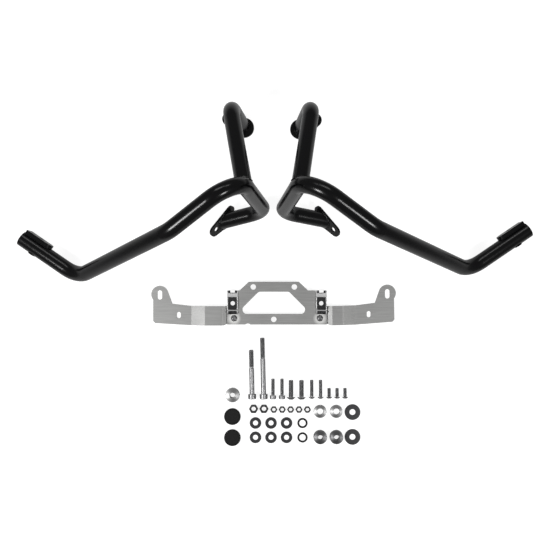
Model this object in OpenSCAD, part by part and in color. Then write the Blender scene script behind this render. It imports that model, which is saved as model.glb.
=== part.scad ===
// Motorcycle crash bar set, laid out flat as a kit: two bent tube bars, a folded
// centre bracket and the screws, nuts, washers, spacers and plugs that fit them.
// Millimetres. X runs across the kit, Y up the layout, Z up from the floor.

/* [Tube] */
// Outside diameter of the bent tube
tube_d = 25; // [23:0.5:27]
// Wall thickness of the tube
tube_wall = 2; // [1.5:0.25:3]
// Centreline radius of every bend
bend_r = 42; // [38:1:46]

/* [Main tube] */
// Height of the crest corner
crest_h = 230; // [220:1:240]
// Plan length from the crest corner to the shoulder bend
upper_run = 123; // [115:1:135]
// Plan direction of the upper run
upper_heading = 216; // [212:0.5:220]
// Height of the shoulder bend
shoulder_h = 190; // [180:1:200]
// Plan length from the shoulder bend to the knee
side_run = 181.2; // [165:0.2:195]
// Plan direction of the side run, left and right
side_heading = [201.2, 200.7]; // [198:0.1:205]
// Height of the knee above the floor
knee_h = 22; // [18:1:30]
// Plan length from the knee to the open outer end, left and right
end_run = [113, 119.6]; // [108:0.2:140]
// Plan direction of the outer end, left and right
end_heading = [146.2, 147.8]; // [144:0.2:152]
// Plan length from the crest corner down to the elbow
drop_run = 47; // [42:1:52]
// Plan direction of the drop, left and right
drop_heading = [-43.4, -48.2]; // [-50:0.2:-40]
// Height of the elbow
elbow_h = 42; // [38:1:48]
// Centreline radius of the bend at the elbow
elbow_r = 34; // [30:1:42]
// Plan length from the elbow to the tab plate, left and right
low_run = [64.6, 67.2]; // [60:0.2:78]
// Plan direction of the low run, left and right
low_heading = [192.4, 190.8]; // [189:0.2:195]

/* [Leg tube] */
// Height at which the leg leaves the main tube
leg_h = 183; // [172:1:187]
// Sideways offset of the leg's root from the tube's centre line
leg_offset = -1.6; // [-3:0.2:3]
// Plan length of the leg, left and right
leg_run = [136.6, 134.8]; // [130:0.2:155]
// Plan direction of the leg
leg_heading = 100.7; // [98:0.1:104]
// Height of the leg's bend corner
leg_bend_h = 95; // [88:1:105]
// Plan length from the bend corner back to the foot plate
return_run = 22; // [18:1:28]
// Plan direction of the return, left and right
return_heading = [-45, -52]; // [-56:1:-42]

/* [Foot plate] */
// Thickness of the foot plate
foot_t = 5; // [4:0.5:6]
// Radius of its wide lobe
foot_wide_r = 16.3; // [15:0.1:18]
// Radius of its ear
foot_ear_r = 11; // [9.5:0.5:12.5]
// Distance from wide lobe to ear
foot_reach = 29; // [26:0.5:32]
// Plan direction of the ear
foot_heading = 150; // [145:1:155]
// Distance of the wide lobe's centre ahead of the tube
foot_lead = 4.5; // [3:0.5:5]
// Bolt hole in the ear
foot_hole_d = 8.5; // [8:0.1:10]

/* [Tab plate] */
// Thickness of the tab plate
tab_t = 3.5; // [3:0.5:5]
// Tilt of the tab plate from level
tab_tilt = 57; // [52:1:60]
// Plan direction that the tab plate faces
tab_heading = -30.5; // [-34:0.5:-27]
// Spin of the tab plate in its own plane
tab_spin = -13.5; // [-17:0.5:-10]
// Radius round the tube
tab_mid_r = 14; // [13.6:0.1:16]
// Radius of the bolt lobe
tab_lobe_r = 10; // [9:0.5:12]
// Distance of the bolt lobe from the tube, left and right
tab_lobe_out = [25, 28]; // [23:0.5:31]
// Radius of the small lobe
tab_tip_r = 8; // [7:0.5:10]
// Distance of the small lobe from the tube, left and right
tab_tip_out = [17, 14.5]; // [13:0.5:21]
// Bolt hole in the tab plate
tab_hole_d = 8.5; // [8:0.1:10]

/* [End plate and sleeve] */
// Length of the doubler plate on the outer end
end_plate_len = 48; // [42:1:52]
// Distance of the doubler plate from the open end
end_plate_in = 3; // [0.5:0.5:5]
// Height of the doubler plate
end_plate_h = 22; // [20:1:23]
// Thickness of the doubler plate
end_plate_t = 6; // [4:0.5:7]
// Depth to which the tube is seated in the plate
end_plate_seat = 1; // [0.6:0.1:1.4]
// Distance of the cross sleeve from the open end
sleeve_in = 28; // [25:1:32]
// Outside diameter of the cross sleeve
sleeve_d = 12; // [11:0.5:14]
// Bore of the cross sleeve
sleeve_bore = 8.5; // [8:0.1:9.5]
// Length of sleeve that stands out on the far side
sleeve_proud = 0.8; // [0.4:0.2:2]

/* [Centre plate] */
// Sheet thickness of the plate and the arms
sheet_t = 3; // [2.5:0.5:4]
// Half width of the top edge
plate_top_half = 41; // [38:0.5:44]
// Half width where the slanted sides meet the wings
plate_neck_half = 56; // [54:0.5:56.5]
// Top edge of the plate
plate_top_y = -11; // [-14:0.5:-8]
// Top edge of the wings
wing_top_y = -25.2; // [-27:0.2:-24]
// Bottom edge of the plate
plate_low_y = -81.2; // [-84:0.2:-80]
// Reach of each wing beyond its clip nut's bore
wing_half = 8.8; // [8.8:0.1:10]
// Half width of the window's top edge
window_top_half = 24.8; // [22:0.2:27]
// Top edge of the window
window_top_y = -27.5; // [-30:0.5:-26]
// Half width of the window's bottom edge before rounding
window_low_half = 59.8; // [56:0.2:62]
// Bottom edge of the window
window_low_y = -63.7; // [-65:0.1:-62]
// Corner radius of the window
window_r = 6; // [4:0.5:6.5]
// Bolt holes in the plate
plate_hole_d = 9; // [8:0.1:10]
// Half spacing of the two top holes
top_hole_half = 33.7; // [32:0.1:35]
// Line of the two top holes
top_hole_y = -19.6; // [-21:0.1:-19]
// Line of the bottom hole
low_hole_y = -72.8; // [-74:0.1:-71]
// Distance of the shallow notch in the lower edge from the centre line
notch_x = 42.5; // [38:0.5:48]
// Radius of the notch
notch_r = 6; // [5:0.5:8]
// Depth of the notch
notch_depth = 1.6; // [1:0.2:2.4]

/* [Arms] */
// Step of the raised part above the end section
arm_lift = 8; // [8:0.5:10]
// Distance from the centre line to the outer slope
slope_from = 113; // [110:1:118]
// Distance from the centre line to the end section
slope_to = 135; // [132:0.5:139]
// Upper edge of the arm
arm_top_y = -51; // [-53:0.5:-49]
// Lower edge of the arm
arm_low_y = -82.8; // [-84:0.2:-82]
// Rise of the end section towards its outer edge
arm_rise = 3.6; // [2:0.2:5]
// Distance from the centre line to the ear
ear_x = 187.7; // [186:0.1:190]
// Line of the ear's centre
ear_y = -31.8; // [-34:0.1:-30]
// Radius of the ear
ear_r = 14; // [12.5:0.1:15.5]
// Distance from the ear's centre back to the foot of its slanted side
ear_foot = 20.7; // [18:0.1:24]
// Distance from the centre line to the arm's outer edge
arm_end = 198.6; // [196:0.2:200]
// Cut on the arm's lower outer corner
arm_cut = 3.5; // [2:0.5:6]
// Width of the ear's slot
slot_w = 7.8; // [6.5:0.1:9]
// Length of the ear's slot
slot_len = 15.6; // [13:0.2:18]
// Width of the small slot
small_slot_w = 6.4; // [5:0.1:7]
// Length of the small slot
small_slot_len = 10.4; // [9:0.2:13]
// Distance from the centre line to the small slot
small_slot_x = 156.4; // [150:0.2:162]
// Line of the small slot
small_slot_y = -66; // [-68:0.5:-63]
// Inner bend radius of the folds
fold_r = 4; // [3:0.5:5]

/* [Clip nuts] */
// Distance of the left clip nut from the centre line
left_clip_x = 67.5; // [66.5:0.5:69]
// Distance of the right clip nut from the centre line
right_clip_x = 78; // [76:0.5:79]
// Line of the clip nuts' bores
clip_y = -46.5; // [-48:0.5:-45]
// Width of a clip nut
clip_w = 17.5; // [16:0.5:19]
// Spring sheet thickness of a clip nut
clip_t = 1; // [0.8:0.1:1.2]
// Clear bore of a clip nut
clip_bore = 8.5; // [8:0.1:9]
// Bulge of its fold beyond the sheet
clip_bulge = 1; // [0.5:0.25:1.5]
// Height of its side walls above the leaf
clip_wall_h = 2; // [1:0.25:3]
// Diameter of the nut barrel
barrel_d = 12.5; // [11.5:0.5:14]
// Height of the nut barrel
barrel_h = 4.8; // [4:0.2:5.6]

/* [Joint screws] */
// Line of the screws that join plate and arms
joint_y = -70.8; // [-72:0.2:-69]
// Distance of the joint screws inwards from the clip nuts
joint_in = 2.5; // [1:0.5:3.5]
// Height of the joint nuts
joint_nut_h = 4; // [3.5:0.25:4.5]

/* [Screws and nuts] */
// Thread diameter of the large screws
m8_d = 8; // [7:0.5:9]
// Thread diameter of the small screws
m6_d = 6; // [5:0.5:7]
// Length of the shorter large socket screw
socket_m8_short = 72.5; // [60:0.5:80]
// Length of the longer large socket screw
socket_m8_long = 92.5; // [85:0.5:95]
// Length of the small socket screws
socket_m6_len = 27.5; // [20:0.5:30]
// Length of the large button screws
button_m8_len = 28; // [20:1:30]
// Length of the small button screws
button_m6_len = 28; // [20:1:30]
// Length of the short button screws
short_m6_len = 14.5; // [10:0.5:18]
// Height of the large nuts
m8_nut_h = 6.5; // [5:0.5:8]
// Height of the small nuts
m6_nut_h = 5; // [4:0.5:6]

/* [Washers, spacers and plugs] */
// Outside diameter of the plain washers
washer_d = 19.2; // [16:0.1:20]
// Thickness of the plain washers
washer_t = 1.6; // [1.2:0.2:2.5]
// Outside diameter of the wide washers
wide_washer_d = 26; // [22:0.1:27]
// Bore of the wide washers
wide_washer_bore = 9.8; // [8.5:0.1:12]
// Thickness of the wide washers
wide_washer_t = 2; // [1.5:0.5:3]
// Outside diameter of the rubber rings
ring_d = 17; // [15:0.2:18]
// Cord thickness of the rubber rings
ring_cord = 3.2; // [1.6:0.2:3.6]
// Outside diameter of the large spacer
large_spacer_d = 23.2; // [21:0.2:24]
// Outside diameter of the wide bored spacers
open_spacer_d = 21.2; // [18:0.2:22]
// Outside diameter of the narrow bored spacers
thick_spacer_d = 22; // [18:0.2:22.4]
// Height of the large spacer
large_spacer_h = 10; // [6:1:14]
// Height of the wide bored spacers
open_spacer_h = 6; // [4:1:10]
// Height of the narrow bored spacers
thick_spacer_h = 12; // [8:1:16]
// Bore of the spacers for the large screws
spacer_bore = 8.4; // [8.2:0.1:9.4]
// Bore of the wide bored spacers
open_bore = 10.2; // [9.6:0.2:11]
// Head diameter of the tube plugs
plug_head_d = 27.2; // [25.6:0.2:28]
// Head height of the tube plugs
plug_head_h = 4; // [3:0.5:6]
// Length of the part of a plug that enters the tube
plug_stem = 10; // [8:1:14]

/* [Layout] */
// Plan place of the left bar's crest corner
left_bar_at = [-51.1, 134.9]; // [-60:0.1:150]
// Turn of the left bar
left_bar_turn = 0; // [-3:0.1:3]
// Plan place of the right bar's crest corner
right_bar_at = [41.4, 137]; // [30:0.1:150]
// Turn of the right bar before it is mirrored
right_bar_turn = -1.5; // [-3:0.1:3]
// Centre line of the bracket
bracket_x = -2; // [-6:0.5:2]
// Turn of the right arm about its joint screw
right_arm_turn = 1; // [-2:0.1:2]
// Places of the shorter and the longer large socket screw
socket_m8_x = [-37.6, -18.7]; // [-42:0.1:-14]
// Turn of the shorter and the longer large socket screw
socket_m8_yaw = [1.3, 1.4]; // [0:0.1:2]
// Line of the large socket screws' head ends
socket_m8_y = -203.6; // [-206:0.1:-201]
// Place of the first small socket screw
socket_m6_x = -3.3; // [-6:0.1:-2]
// Pitch of the small socket screws
socket_m6_pitch = 14.8; // [12:0.1:17]
// Line of the small socket screws' head ends
socket_m6_y = -204; // [-206:0.1:-202]
// Place of the first large button screw
button_m8_x = 26.3; // [24.5:0.1:28]
// Pitch of the large button screws
button_m8_pitch = 17.2; // [15:0.1:18]
// Line of the large button screws' head ends
button_m8_y = -205; // [-207:0.1:-203]
// Place of the first small button screw
button_m6_x = 60.4; // [58:0.1:62]
// Pitch of the small button screws
button_m6_pitch = 14.5; // [12:0.1:16]
// Line of the small button screws' head ends
button_m6_y = -203.8; // [-206:0.1:-202]
// Place of the first short button screw
short_m6_x = 89; // [88:0.1:91]
// Pitch of the short button screws
short_m6_pitch = 13.1; // [11.5:0.1:14]
// Line of the short button screws' head ends
short_m6_y = -203.6; // [-206:0.1:-202]
// Place of the first large nut
m8_nut_x = -35.2; // [-38:0.1:-34]
// Pitch of the large nuts
m8_nut_pitch = 17; // [16:0.1:19]
// Line of the large nuts
m8_nut_y = -220.3; // [-221:0.1:-218]
// Place of the first small nut
m6_nut_x = -1.9; // [-3:0.1:0]
// Pitch of the small nuts
m6_nut_pitch = 13.8; // [12:0.1:14.5]
// Line of the small nuts
m6_nut_y = -221.6; // [-223:0.1:-219]
// Place of the first plain washer
washer_x = -32.2; // [-36:0.1:-30]
// Pitch of the plain washers
washer_pitch = 25.6; // [21:0.1:27]
// Line of the first row of washers and rings
washer_y = -244; // [-246:0.1:-242]
// Distance between the two rows
washer_row = 23.7; // [21:0.1:25]
// Place of the rubber rings
ring_x = 45.3; // [42:0.1:50]
// Place of the wide washers
wide_washer_x = 127.7; // [126:0.1:131]
// Line of the first wide washer
wide_washer_y = -226; // [-230:0.1:-222]
// Distance between the wide washers
wide_washer_pitch = 40.9; // [30:0.1:43]
// Place of the large spacer and the tube plugs
plug_x = -69.7; // [-74:0.1:-66]
// Line of the large spacer
large_spacer_y = -197.3; // [-200:0.1:-194]
// Line of the first tube plug
plug_y = -231.6; // [-234:0.1:-229]
// Distance between the tube plugs
plug_pitch = 34.5; // [30:0.1:36]
// Place of the first small spacer
spacer_x = 74.3; // [72:0.1:76]
// Pitch of the small spacers
spacer_pitch = 26.6; // [23:0.1:29]
// Line of the wide bored spacers
open_spacer_y = -224.6; // [-228:0.1:-222]
// Line of the narrow bored spacers
thick_spacer_y = -266.3; // [-269:0.1:-255]
// Shift that brings the kit's middle over the origin
kit_shift = [0, 5.3]; // [-20:0.1:20]

/* [Hidden] */
$fn = 96;
$bar = 0;
overcut = 1;
hair = 0.05;
band = 0.6;
tube_r = tube_d / 2;
bore_r = tube_r - tube_wall;
black_coat = [0.09, 0.09, 0.1];
bare_steel = [0.6, 0.6, 0.6];
dark_steel = [0.36, 0.36, 0.37];
bright_steel = [0.75, 0.75, 0.76];
black_rubber = [0.12, 0.12, 0.12];

// Vectors and points

function unit(v) = v / norm(v);
function plan_step(from, heading, run, height) =
    [from[0] + run * cos(heading), from[1] + run * sin(heading), height];
function side_of(d) = unit(abs(d[2]) < 0.9 ? cross(d, [0, 0, 1]) : cross(d, [1, 0, 0]));
function columns(x, y, z, p) = [
    [x[0], y[0], z[0], p[0]],
    [x[1], y[1], z[1], p[1]],
    [x[2], y[2], z[2], p[2]],
    [0, 0, 0, 1]
];
function frame_along(p, d) = let (s = side_of(d)) columns(s, cross(d, s), d, p);
function turn_at(p, i) = acos(unit(p[i] - p[i - 1]) * unit(p[i + 1] - p[i]));
function radius_at(corner) = corner == elbow() ? elbow_r : bend_r;
function reach_at(p, i) =
    (i == 0 || i == len(p) - 1) ? 0 : radius_at(p[i]) * tan(turn_at(p, i) / 2);

// Centreline corners of one bar, from the crest corner; $bar is 0 left and 1 right

crest = [0, 0, crest_h];
shoulder = plan_step(crest, upper_heading, upper_run, shoulder_h);
function knee() = plan_step(shoulder, side_heading[$bar], side_run, knee_h);
function outer_end() = plan_step(knee(), end_heading[$bar], end_run[$bar], tube_r);
function elbow() = plan_step(crest, drop_heading[$bar], drop_run, elbow_h);
tab_z = tab_mid_r * sin(tab_tilt) + tab_t * cos(tab_tilt);
tab_reach = 2 * tube_r;
function tab_point() = plan_step(elbow(), low_heading[$bar], low_run[$bar], tab_z);
function past_tab() = tab_point() + unit(tab_point() - elbow()) * tab_reach;
function main_path() = [outer_end(), knee(), shoulder, crest, elbow(), past_tab()];

leg_share = (crest_h - leg_h) / (crest_h - elbow_h);
function leg_root() = crest + (elbow() - crest) * leg_share + [leg_offset, 0, 0];
function leg_corner() = plan_step(leg_root(), leg_heading, leg_run[$bar], leg_bend_h);
function foot_point() = plan_step(leg_corner(), return_heading[$bar], return_run, foot_t);
function past_foot() = foot_point() + unit(foot_point() - leg_corner()) * tube_r;
function leg_start() = leg_root() + unit(leg_corner() - leg_root()) / 2;
function leg_path() = [leg_start(), leg_corner(), past_foot()];

function end_frame() =
    let (outward = unit(outer_end() - knee()), side = unit(cross([0, 0, 1], outward)))
    columns(-outward, side, cross(-outward, side), outer_end());

// Bent tube along corner points, with a hair-high band over each tangent line

module pipe(h, ra, rb) {
    difference() {
        cylinder(h = h, r = ra);
        if (rb > 0)
            translate([0, 0, -overcut])
                cylinder(h = h + 2 * overcut, r = rb);
    }
}

module tube_path(p, ra, rb) {
    last = len(p) - 1;
    for (i = [0 : last - 1]) {
        along = unit(p[i + 1] - p[i]);
        from = p[i] + along * reach_at(p, i);
        to = p[i + 1] - along * reach_at(p, i + 1);
        multmatrix(frame_along(from, along))
            pipe(norm(to - from), ra, rb);
        if (i > 0)
            multmatrix(frame_along(from - along * band / 2, along))
                pipe(band, ra + hair, rb - hair);
        if (i < last - 1)
            multmatrix(frame_along(to - along * band / 2, along))
                pipe(band, ra + hair, rb - hair);
    }
    for (i = [1 : last - 1]) {
        coming = unit(p[i] - p[i - 1]);
        going = unit(p[i + 1] - p[i]);
        inward = unit(going - coming * (coming * going));
        start = p[i] - coming * reach_at(p, i);
        r = radius_at(p[i]);
        multmatrix(columns(-inward, coming, cross(-inward, coming), start + inward * r))
            rotate_extrude(angle = turn_at(p, i))
                translate([r, 0])
                    difference() {
                        circle(r = ra);
                        if (rb > 0)
                            circle(r = rb);
                    }
    }
}

// Two round lobes joined by their tangents, and a slot's outline

module lobe_pair(a, ra, b, rb, t) {
    base = atan2(b[1] - a[1], b[0] - a[0]);
    spread = acos((ra - rb) / norm(b - a));
    up = [cos(base + spread), sin(base + spread)];
    down = [cos(base - spread), sin(base - spread)];
    translate(a)
        cylinder(h = t, r = ra);
    translate(b)
        cylinder(h = t, r = rb);
    linear_extrude(t)
        polygon([a + ra * up, b + rb * up, b + rb * down, a + ra * down]);
}

module slot(w, len) {
    for (s = [-1, 1])
        translate([0, s * (len - w) / 2])
            circle(d = w);
    square([w, len - w], center = true);
}

// Points of a polygon with its corners rounded to radius r

function corner_arc(a, b, c, r, steps = 8) =
    let (
        u = unit(a - b),
        v = unit(c - b),
        half = acos(u * v) / 2,
        centre = b + unit(u + v) * r / sin(half),
        from = b + u * r / tan(half) - centre,
        to = b + v * r / tan(half) - centre,
        start = atan2(from[1], from[0]),
        sweep = atan2(from[0] * to[1] - from[1] * to[0], from * to)
    )
    [for (k = [0 : steps]) centre + r * [cos(start + sweep * k / steps), sin(start + sweep * k / steps)]];
function rounded(p, r) = [
    for (i = [0 : len(p) - 1])
        each corner_arc(p[(i + len(p) - 1) % len(p)], p[i], p[(i + 1) % len(p)], r)
];

// Side view of a folded sheet: lower face along the points, corners eased

function eased(p, r) = [
    p[0],
    for (i = [1 : len(p) - 2]) each corner_arc(p[i - 1], p[i], p[i + 1], r, 4),
    p[len(p) - 1]
];
function left_of(a, b) = let (d = unit(b - a)) [-d[1], d[0]];
function face_point(p, i, t) =
    let (
        n = len(p) - 1,
        before = left_of(p[max(i - 1, 0)], p[max(i, 1)]),
        after = left_of(p[min(i, n - 1)], p[min(i + 1, n)])
    )
    p[i] + t * (before + after) / (1 + before * after);
module folded_sheet(p, t) {
    upper = [for (i = [len(p) - 1 : -1 : 0]) face_point(p, i, t)];
    polygon(concat(p, upper));
}

// Bar pieces, in the bar's own frame

module tab_frame() {
    translate(tab_point())
        rotate([0, tab_tilt, tab_heading])
            rotate([0, 0, tab_spin])
                children();
}

module main_tube() {
    trim = 3 * tube_d;
    color(black_coat)
        difference() {
            tube_path(main_path(), tube_r, bore_r);
            tab_frame()
                translate([-trim / 2, -trim / 2, -trim])
                    cube(trim);
            multmatrix(end_frame())
                translate([sleeve_in, 0, 0])
                    rotate([90, 0, 0])
                        cylinder(h = 2 * tube_d, d = sleeve_d, center = true);
        }
}

module leg_tube() {
    trim = 4 * tube_d;
    color(black_coat)
        difference() {
            tube_path(leg_path(), tube_r, bore_r);
            tube_path([shoulder, crest, elbow()], tube_r, 0);
            translate([foot_point()[0] - trim / 2, foot_point()[1] - trim / 2, foot_t - trim])
                cube(trim);
        }
}

module foot_plate() {
    wide = plan_step(foot_point(), return_heading[$bar], foot_lead, 0);
    color(black_coat)
        translate(wide)
            rotate([0, 0, foot_heading])
                difference() {
                    lobe_pair([0, 0], foot_wide_r, [foot_reach, 0], foot_ear_r, foot_t);
                    translate([foot_reach, 0, -overcut])
                        cylinder(h = foot_t + 2 * overcut, d = foot_hole_d);
                }
}

module tab_plate() {
    edge = -tab_mid_r;
    color(black_coat)
        tab_frame()
            translate([0, 0, -tab_t])
                difference() {
                    union() {
                        lobe_pair([0, 0], tab_mid_r,
                            [edge + tab_lobe_r, -tab_lobe_out[$bar]], tab_lobe_r, tab_t);
                        lobe_pair([0, 0], tab_mid_r,
                            [edge + tab_tip_r, tab_tip_out[$bar]], tab_tip_r, tab_t);
                    }
                    translate([edge + tab_lobe_r, tab_lobe_r / 3 - tab_lobe_out[$bar], -overcut])
                        cylinder(h = tab_t + 2 * overcut, d = tab_hole_d);
                }
}

module end_plate() {
    color(black_coat)
        multmatrix(end_frame())
            difference() {
                translate([end_plate_in, end_plate_seat - tube_r, 0])
                    rotate([90, 0, 0])
                        linear_extrude(end_plate_t)
                            difference() {
                                union() {
                                    translate([0, -end_plate_h / 2])
                                        square([end_plate_len - end_plate_h / 2, end_plate_h]);
                                    translate([end_plate_len - end_plate_h / 2, 0])
                                        circle(d = end_plate_h);
                                }
                                translate([sleeve_in - end_plate_in, 0])
                                    circle(d = sleeve_d);
                            }
                rotate([0, 90, 0])
                    translate([0, 0, -overcut])
                        cylinder(h = 2 * end_plate_len, r = tube_r);
            }
}

module cross_sleeve() {
    plate_face = tube_r - end_plate_seat + end_plate_t;
    color(black_coat)
        multmatrix(end_frame())
            translate([sleeve_in, tube_r + sleeve_proud, 0])
                rotate([90, 0, 0])
                    difference() {
                        cylinder(h = tube_r + sleeve_proud + plate_face, d = sleeve_d);
                        translate([0, 0, -overcut])
                            cylinder(h = 2 * (tube_d + end_plate_t), d = sleeve_bore);
                    }
}

module on_left() {
    $bar = 0;
    translate([left_bar_at[0], left_bar_at[1], 0])
        rotate([0, 0, left_bar_turn])
            children();
}

module on_right() {
    $bar = 1;
    translate([right_bar_at[0], right_bar_at[1], 0])
        mirror([1, 0, 0])
            rotate([0, 0, right_bar_turn])
                children();
}

// Bracket pieces, in the bracket's own frame

flat_z = joint_nut_h;
plate_z = flat_z + sheet_t;
wing_low_y = clip_y - 8;
clip_fold_r = sheet_t / 2 + clip_bulge;
clip_fold_y = wing_top_y - clip_t - clip_fold_r;
wing_edge_y = clip_fold_y - 0.2;
leaf_end_y = clip_y - 7.6;

function flipped(p) = [for (i = [len(p) - 1 : -1 : 0]) [-p[i][0], p[i][1]]];

module window_shape() {
    slant = [window_low_half - 8, window_low_y + 9.2];
    half = [
        [window_top_half, window_top_y], slant, [window_low_half - 10, window_low_y]
    ];
    polygon(rounded(concat(half, flipped(half)), window_r));
}

function plate_half(clip_x) =
    let (inner = clip_x - clip_w / 2 - 0.5, outer = clip_x + wing_half)
    [
        [plate_top_half, plate_top_y], [plate_neck_half, wing_top_y], [inner, wing_top_y],
        [inner, wing_edge_y], [outer, wing_edge_y], [outer, plate_low_y]
    ];

module bracket_plate() {
    color(bare_steel)
        translate([bracket_x, 0, plate_z])
            linear_extrude(sheet_t)
                difference() {
                    polygon(concat(plate_half(right_clip_x), flipped(plate_half(left_clip_x))));
                    window_shape();
                    for (x = [-top_hole_half, top_hole_half])
                        translate([x, top_hole_y])
                            circle(d = plate_hole_d);
                    translate([0, low_hole_y])
                        circle(d = plate_hole_d);
                    for (x = [-left_clip_x, right_clip_x])
                        translate([x, clip_y])
                            circle(d = plate_hole_d);
                    for (x = [joint_in - left_clip_x, right_clip_x - joint_in])
                        translate([x, joint_y])
                            circle(d = m6_d + 0.4);
                    translate([-notch_x, plate_low_y + notch_depth - notch_r])
                        circle(r = notch_r);
                }
}

// Arm reaching out along +X

module arm_outline(clip_x) {
    rise_from = clip_x + wing_half + 1.5;
    shoulder_y = arm_top_y + arm_rise;
    foot_y = arm_low_y + arm_rise;
    slant_foot = [ear_x - ear_foot, shoulder_y];
    to_ear = [ear_x, ear_y] - slant_foot;
    slant = atan2(to_ear[1], to_ear[0]) + asin(ear_r / norm(to_ear));
    touch = slant_foot + sqrt(to_ear * to_ear - ear_r * ear_r) * [cos(slant), sin(slant)];
    difference() {
        union() {
            polygon([
                [clip_x - 11, plate_low_y + 0.5], [rise_from, plate_low_y + 0.5],
                [rise_from + 4, arm_low_y], [slope_to, arm_low_y],
                [arm_end - arm_cut, foot_y], [arm_end, foot_y + arm_cut],
                [arm_end, ear_y], touch, slant_foot,
                [slope_to, arm_top_y], [rise_from - 0.7, arm_top_y],
                [rise_from - 0.7, wing_low_y], [clip_x - 11, wing_low_y]
            ]);
            translate([ear_x, ear_y])
                circle(r = ear_r);
        }
        translate([ear_x, ear_y - 1.2])
            slot(slot_w, slot_len);
        translate([small_slot_x, small_slot_y])
            slot(small_slot_w, small_slot_len);
        translate([clip_x - joint_in, joint_y])
            circle(d = m6_d + 0.4);
    }
}

module folded_arm(clip_x) {
    rise_from = clip_x + wing_half + 1.5;
    corners = [
        [clip_x - 20, flat_z], [rise_from, flat_z], [rise_from + 8, arm_lift],
        [slope_from, arm_lift], [slope_to, 0], [ear_x + 2 * ear_r, 0]
    ];
    intersection() {
        rotate([90, 0, 0])
            translate([0, 0, -10])
                linear_extrude(110)
                    folded_sheet(eased(corners, fold_r), sheet_t);
        translate([0, 0, -overcut])
            linear_extrude(arm_lift + sheet_t + 2 * overcut)
                arm_outline(clip_x);
    }
}

module left_arm() {
    color(bare_steel)
        translate([bracket_x, 0, 0])
            mirror([1, 0, 0])
                folded_arm(left_clip_x);
}

module right_arm() {
    pivot = [right_clip_x - joint_in, joint_y, 0];
    color(bare_steel)
        translate([bracket_x, 0, 0] + pivot)
            rotate([0, 0, right_arm_turn])
                translate(-pivot)
                    folded_arm(right_clip_x);
}

module leaf_strip(points) {
    rotate([90, 0, 90])
        linear_extrude(clip_w, center = true)
            polygon(points);
}

module clip_nut(x) {
    low = plate_z;
    top = plate_z + sheet_t;
    mid = plate_z + sheet_t / 2;
    fold_y = clip_fold_y;
    fold_out = clip_fold_r + clip_t;
    flat_y = clip_y + 10.5;
    wall_y = clip_y - 9.5;
    crest_y = clip_y - 14.5;
    lip_y = clip_y - 17.5;
    color(dark_steel)
        translate([bracket_x + x, 0, 0])
            difference() {
                union() {
                    leaf_strip([
                        [fold_y, top + clip_bulge], [fold_y, top + clip_bulge + clip_t],
                        [flat_y, top + clip_t], [crest_y + 2.4, top + clip_t],
                        [crest_y, top + 2.4 * clip_t], [lip_y, top + 1.2 * clip_t],
                        [lip_y, top + 0.2 * clip_t], [crest_y, top + 1.4 * clip_t],
                        [crest_y + 2.4, top], [flat_y, top]
                    ]);
                    leaf_strip([
                        [fold_y, low - clip_bulge], [flat_y, low], [leaf_end_y, low],
                        [leaf_end_y, low - clip_t], [flat_y, low - clip_t],
                        [fold_y, low - clip_bulge - clip_t]
                    ]);
                    intersection() {
                        translate([0, fold_y, mid])
                            rotate([0, 90, 0])
                                difference() {
                                    cylinder(h = clip_w, r = fold_out, center = true);
                                    cylinder(h = 2 * clip_w, r = clip_fold_r, center = true);
                                }
                        translate([-clip_w, fold_y, mid - 2 * fold_out])
                            cube([2 * clip_w, 2 * fold_out, 4 * fold_out]);
                    }
                    for (side = [-1, 1])
                        translate([side * (clip_w - clip_t) / 2, (flat_y + wall_y) / 2, top + clip_t / 2])
                            translate([-clip_t / 2, (wall_y - flat_y) / 2, 0])
                                cube([clip_t, flat_y - wall_y, clip_t / 2 + clip_wall_h]);
                    translate([0, clip_y, low - clip_t - barrel_h])
                        cylinder(h = barrel_h + clip_t / 2, d = barrel_d);
                }
                translate([0, clip_y, -overcut])
                    cylinder(h = 4 * plate_z, d = clip_bore);
                translate([-3.85, fold_y + fold_out - 5, 0])
                    cube([7.7, 10, 4 * plate_z]);
            }
}

// Fasteners, built along +Z with the underside of the head at zero

module cap_screw(len, d, head_d, head_h, key) {
    cylinder(h = len, d = d);
    difference() {
        translate([0, 0, -head_h])
            cylinder(h = head_h, d = head_d);
        translate([0, 0, -head_h - overcut])
            cylinder(h = head_h / 2 + overcut, d = key / cos(30), $fn = 6);
    }
}

module button_screw(len, d, head_d, head_h, key) {
    dome_r = (head_d * head_d / 4 + head_h * head_h) / (2 * head_h);
    cylinder(h = len, d = d);
    difference() {
        intersection() {
            translate([0, 0, dome_r - head_h])
                sphere(r = dome_r);
            translate([0, 0, -head_h])
                cylinder(h = head_h, d = head_d + overcut);
        }
        translate([0, 0, -head_h - overcut])
            cylinder(h = head_h / 2 + overcut, d = key / cos(30), $fn = 6);
    }
}

// A screw at rest on its head rim and its tip, head towards -Y

module lying(x, head_y, len, d, head_d, head_h, yaw = 0) {
    tilt = atan((head_d - d) / (2 * len));
    translate([x, head_y + head_h, head_d / 2 * cos(tilt)])
        rotate([-90 - tilt, 0, yaw])
            children();
}

module hex_nut(width, height, bore) {
    difference() {
        cylinder(h = height, d = width / cos(30), $fn = 6);
        translate([0, 0, -overcut])
            cylinder(h = height + 2 * overcut, d = bore);
    }
}

module ring_of(outer, bore, height) {
    difference() {
        cylinder(h = height, d = outer);
        translate([0, 0, -overcut])
            cylinder(h = height + 2 * overcut, d = bore);
    }
}

m8_head = m8_d * [13 / 8, 1, 6 / 8];
m6_head = m6_d * [10 / 6, 1, 5 / 6];
m8_button = m8_d * [14 / 8, 0.55, 5 / 8];
m6_button = m6_d * [10.5 / 6, 0.55, 4 / 6];

module joint_screw(x) {
    color(bright_steel)
        translate([bracket_x + x, joint_y, plate_z + sheet_t])
            rotate([180, 0, 0])
                button_screw(plate_z + sheet_t, m6_d, m6_button[0], m6_button[1], m6_button[2]);
}

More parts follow.
